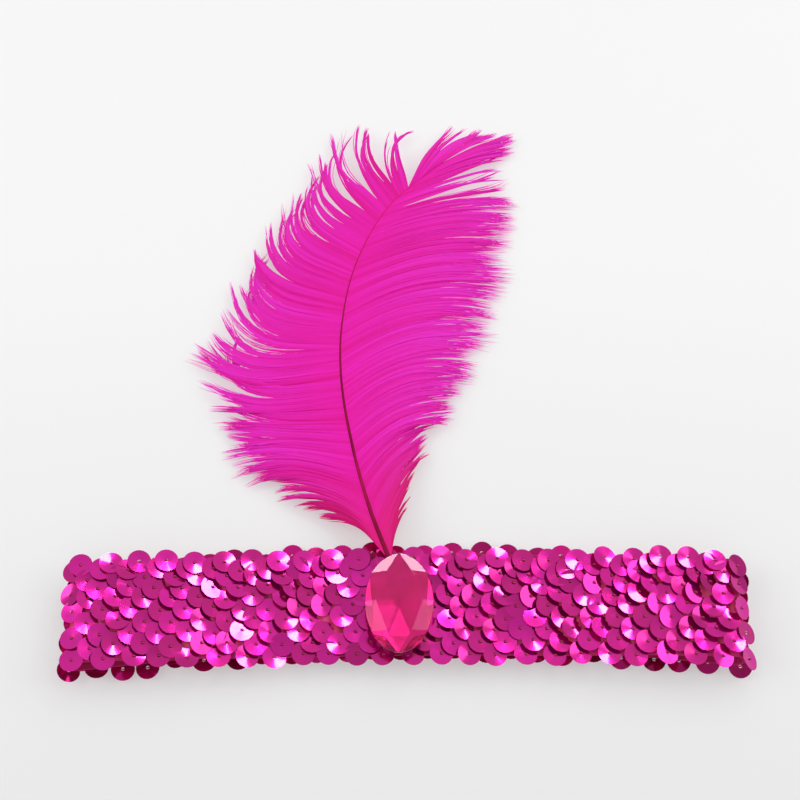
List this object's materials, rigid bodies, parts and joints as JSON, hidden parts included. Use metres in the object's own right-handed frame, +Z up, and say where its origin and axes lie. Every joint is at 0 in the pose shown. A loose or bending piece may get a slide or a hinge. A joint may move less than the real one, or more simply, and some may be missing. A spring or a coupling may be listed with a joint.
{
  "type": "sequin headband with feather",
  "caption": "Stretch headband covered in cup sequins, lying flat as a doubled loop, with a dyed ostrich feather held under an oval faceted stone.",
  "frame": {"origin": "the middle of the band, on the surface that it rests on", "axes": "+X along the doubled band, +Y across it towards the feather's tip, +Z up off the surface"},
  "size_m": [0.2004, 0.1873, 0.0159],
  "materials": {
    "knit": "matt ribbed elastic knit",
    "sequin_film": "mirror-like metallised film",
    "glue": "clear glossy glue",
    "acrylic": "polished clear acrylic with a foil back",
    "quill": "satin dyed quill",
    "barbs": "soft matt barbs"
  },
  "bodies": {
    "root": {"stretch_band": "knit", "sequins_front": "sequin_film", "sequins_back": "sequin_film", "glue_pad": "glue", "gem_stone": "acrylic", "feather_quill": "quill", "feather_vane_left": "barbs", "feather_vane_right": "barbs"}
  },
  "joints": []
}
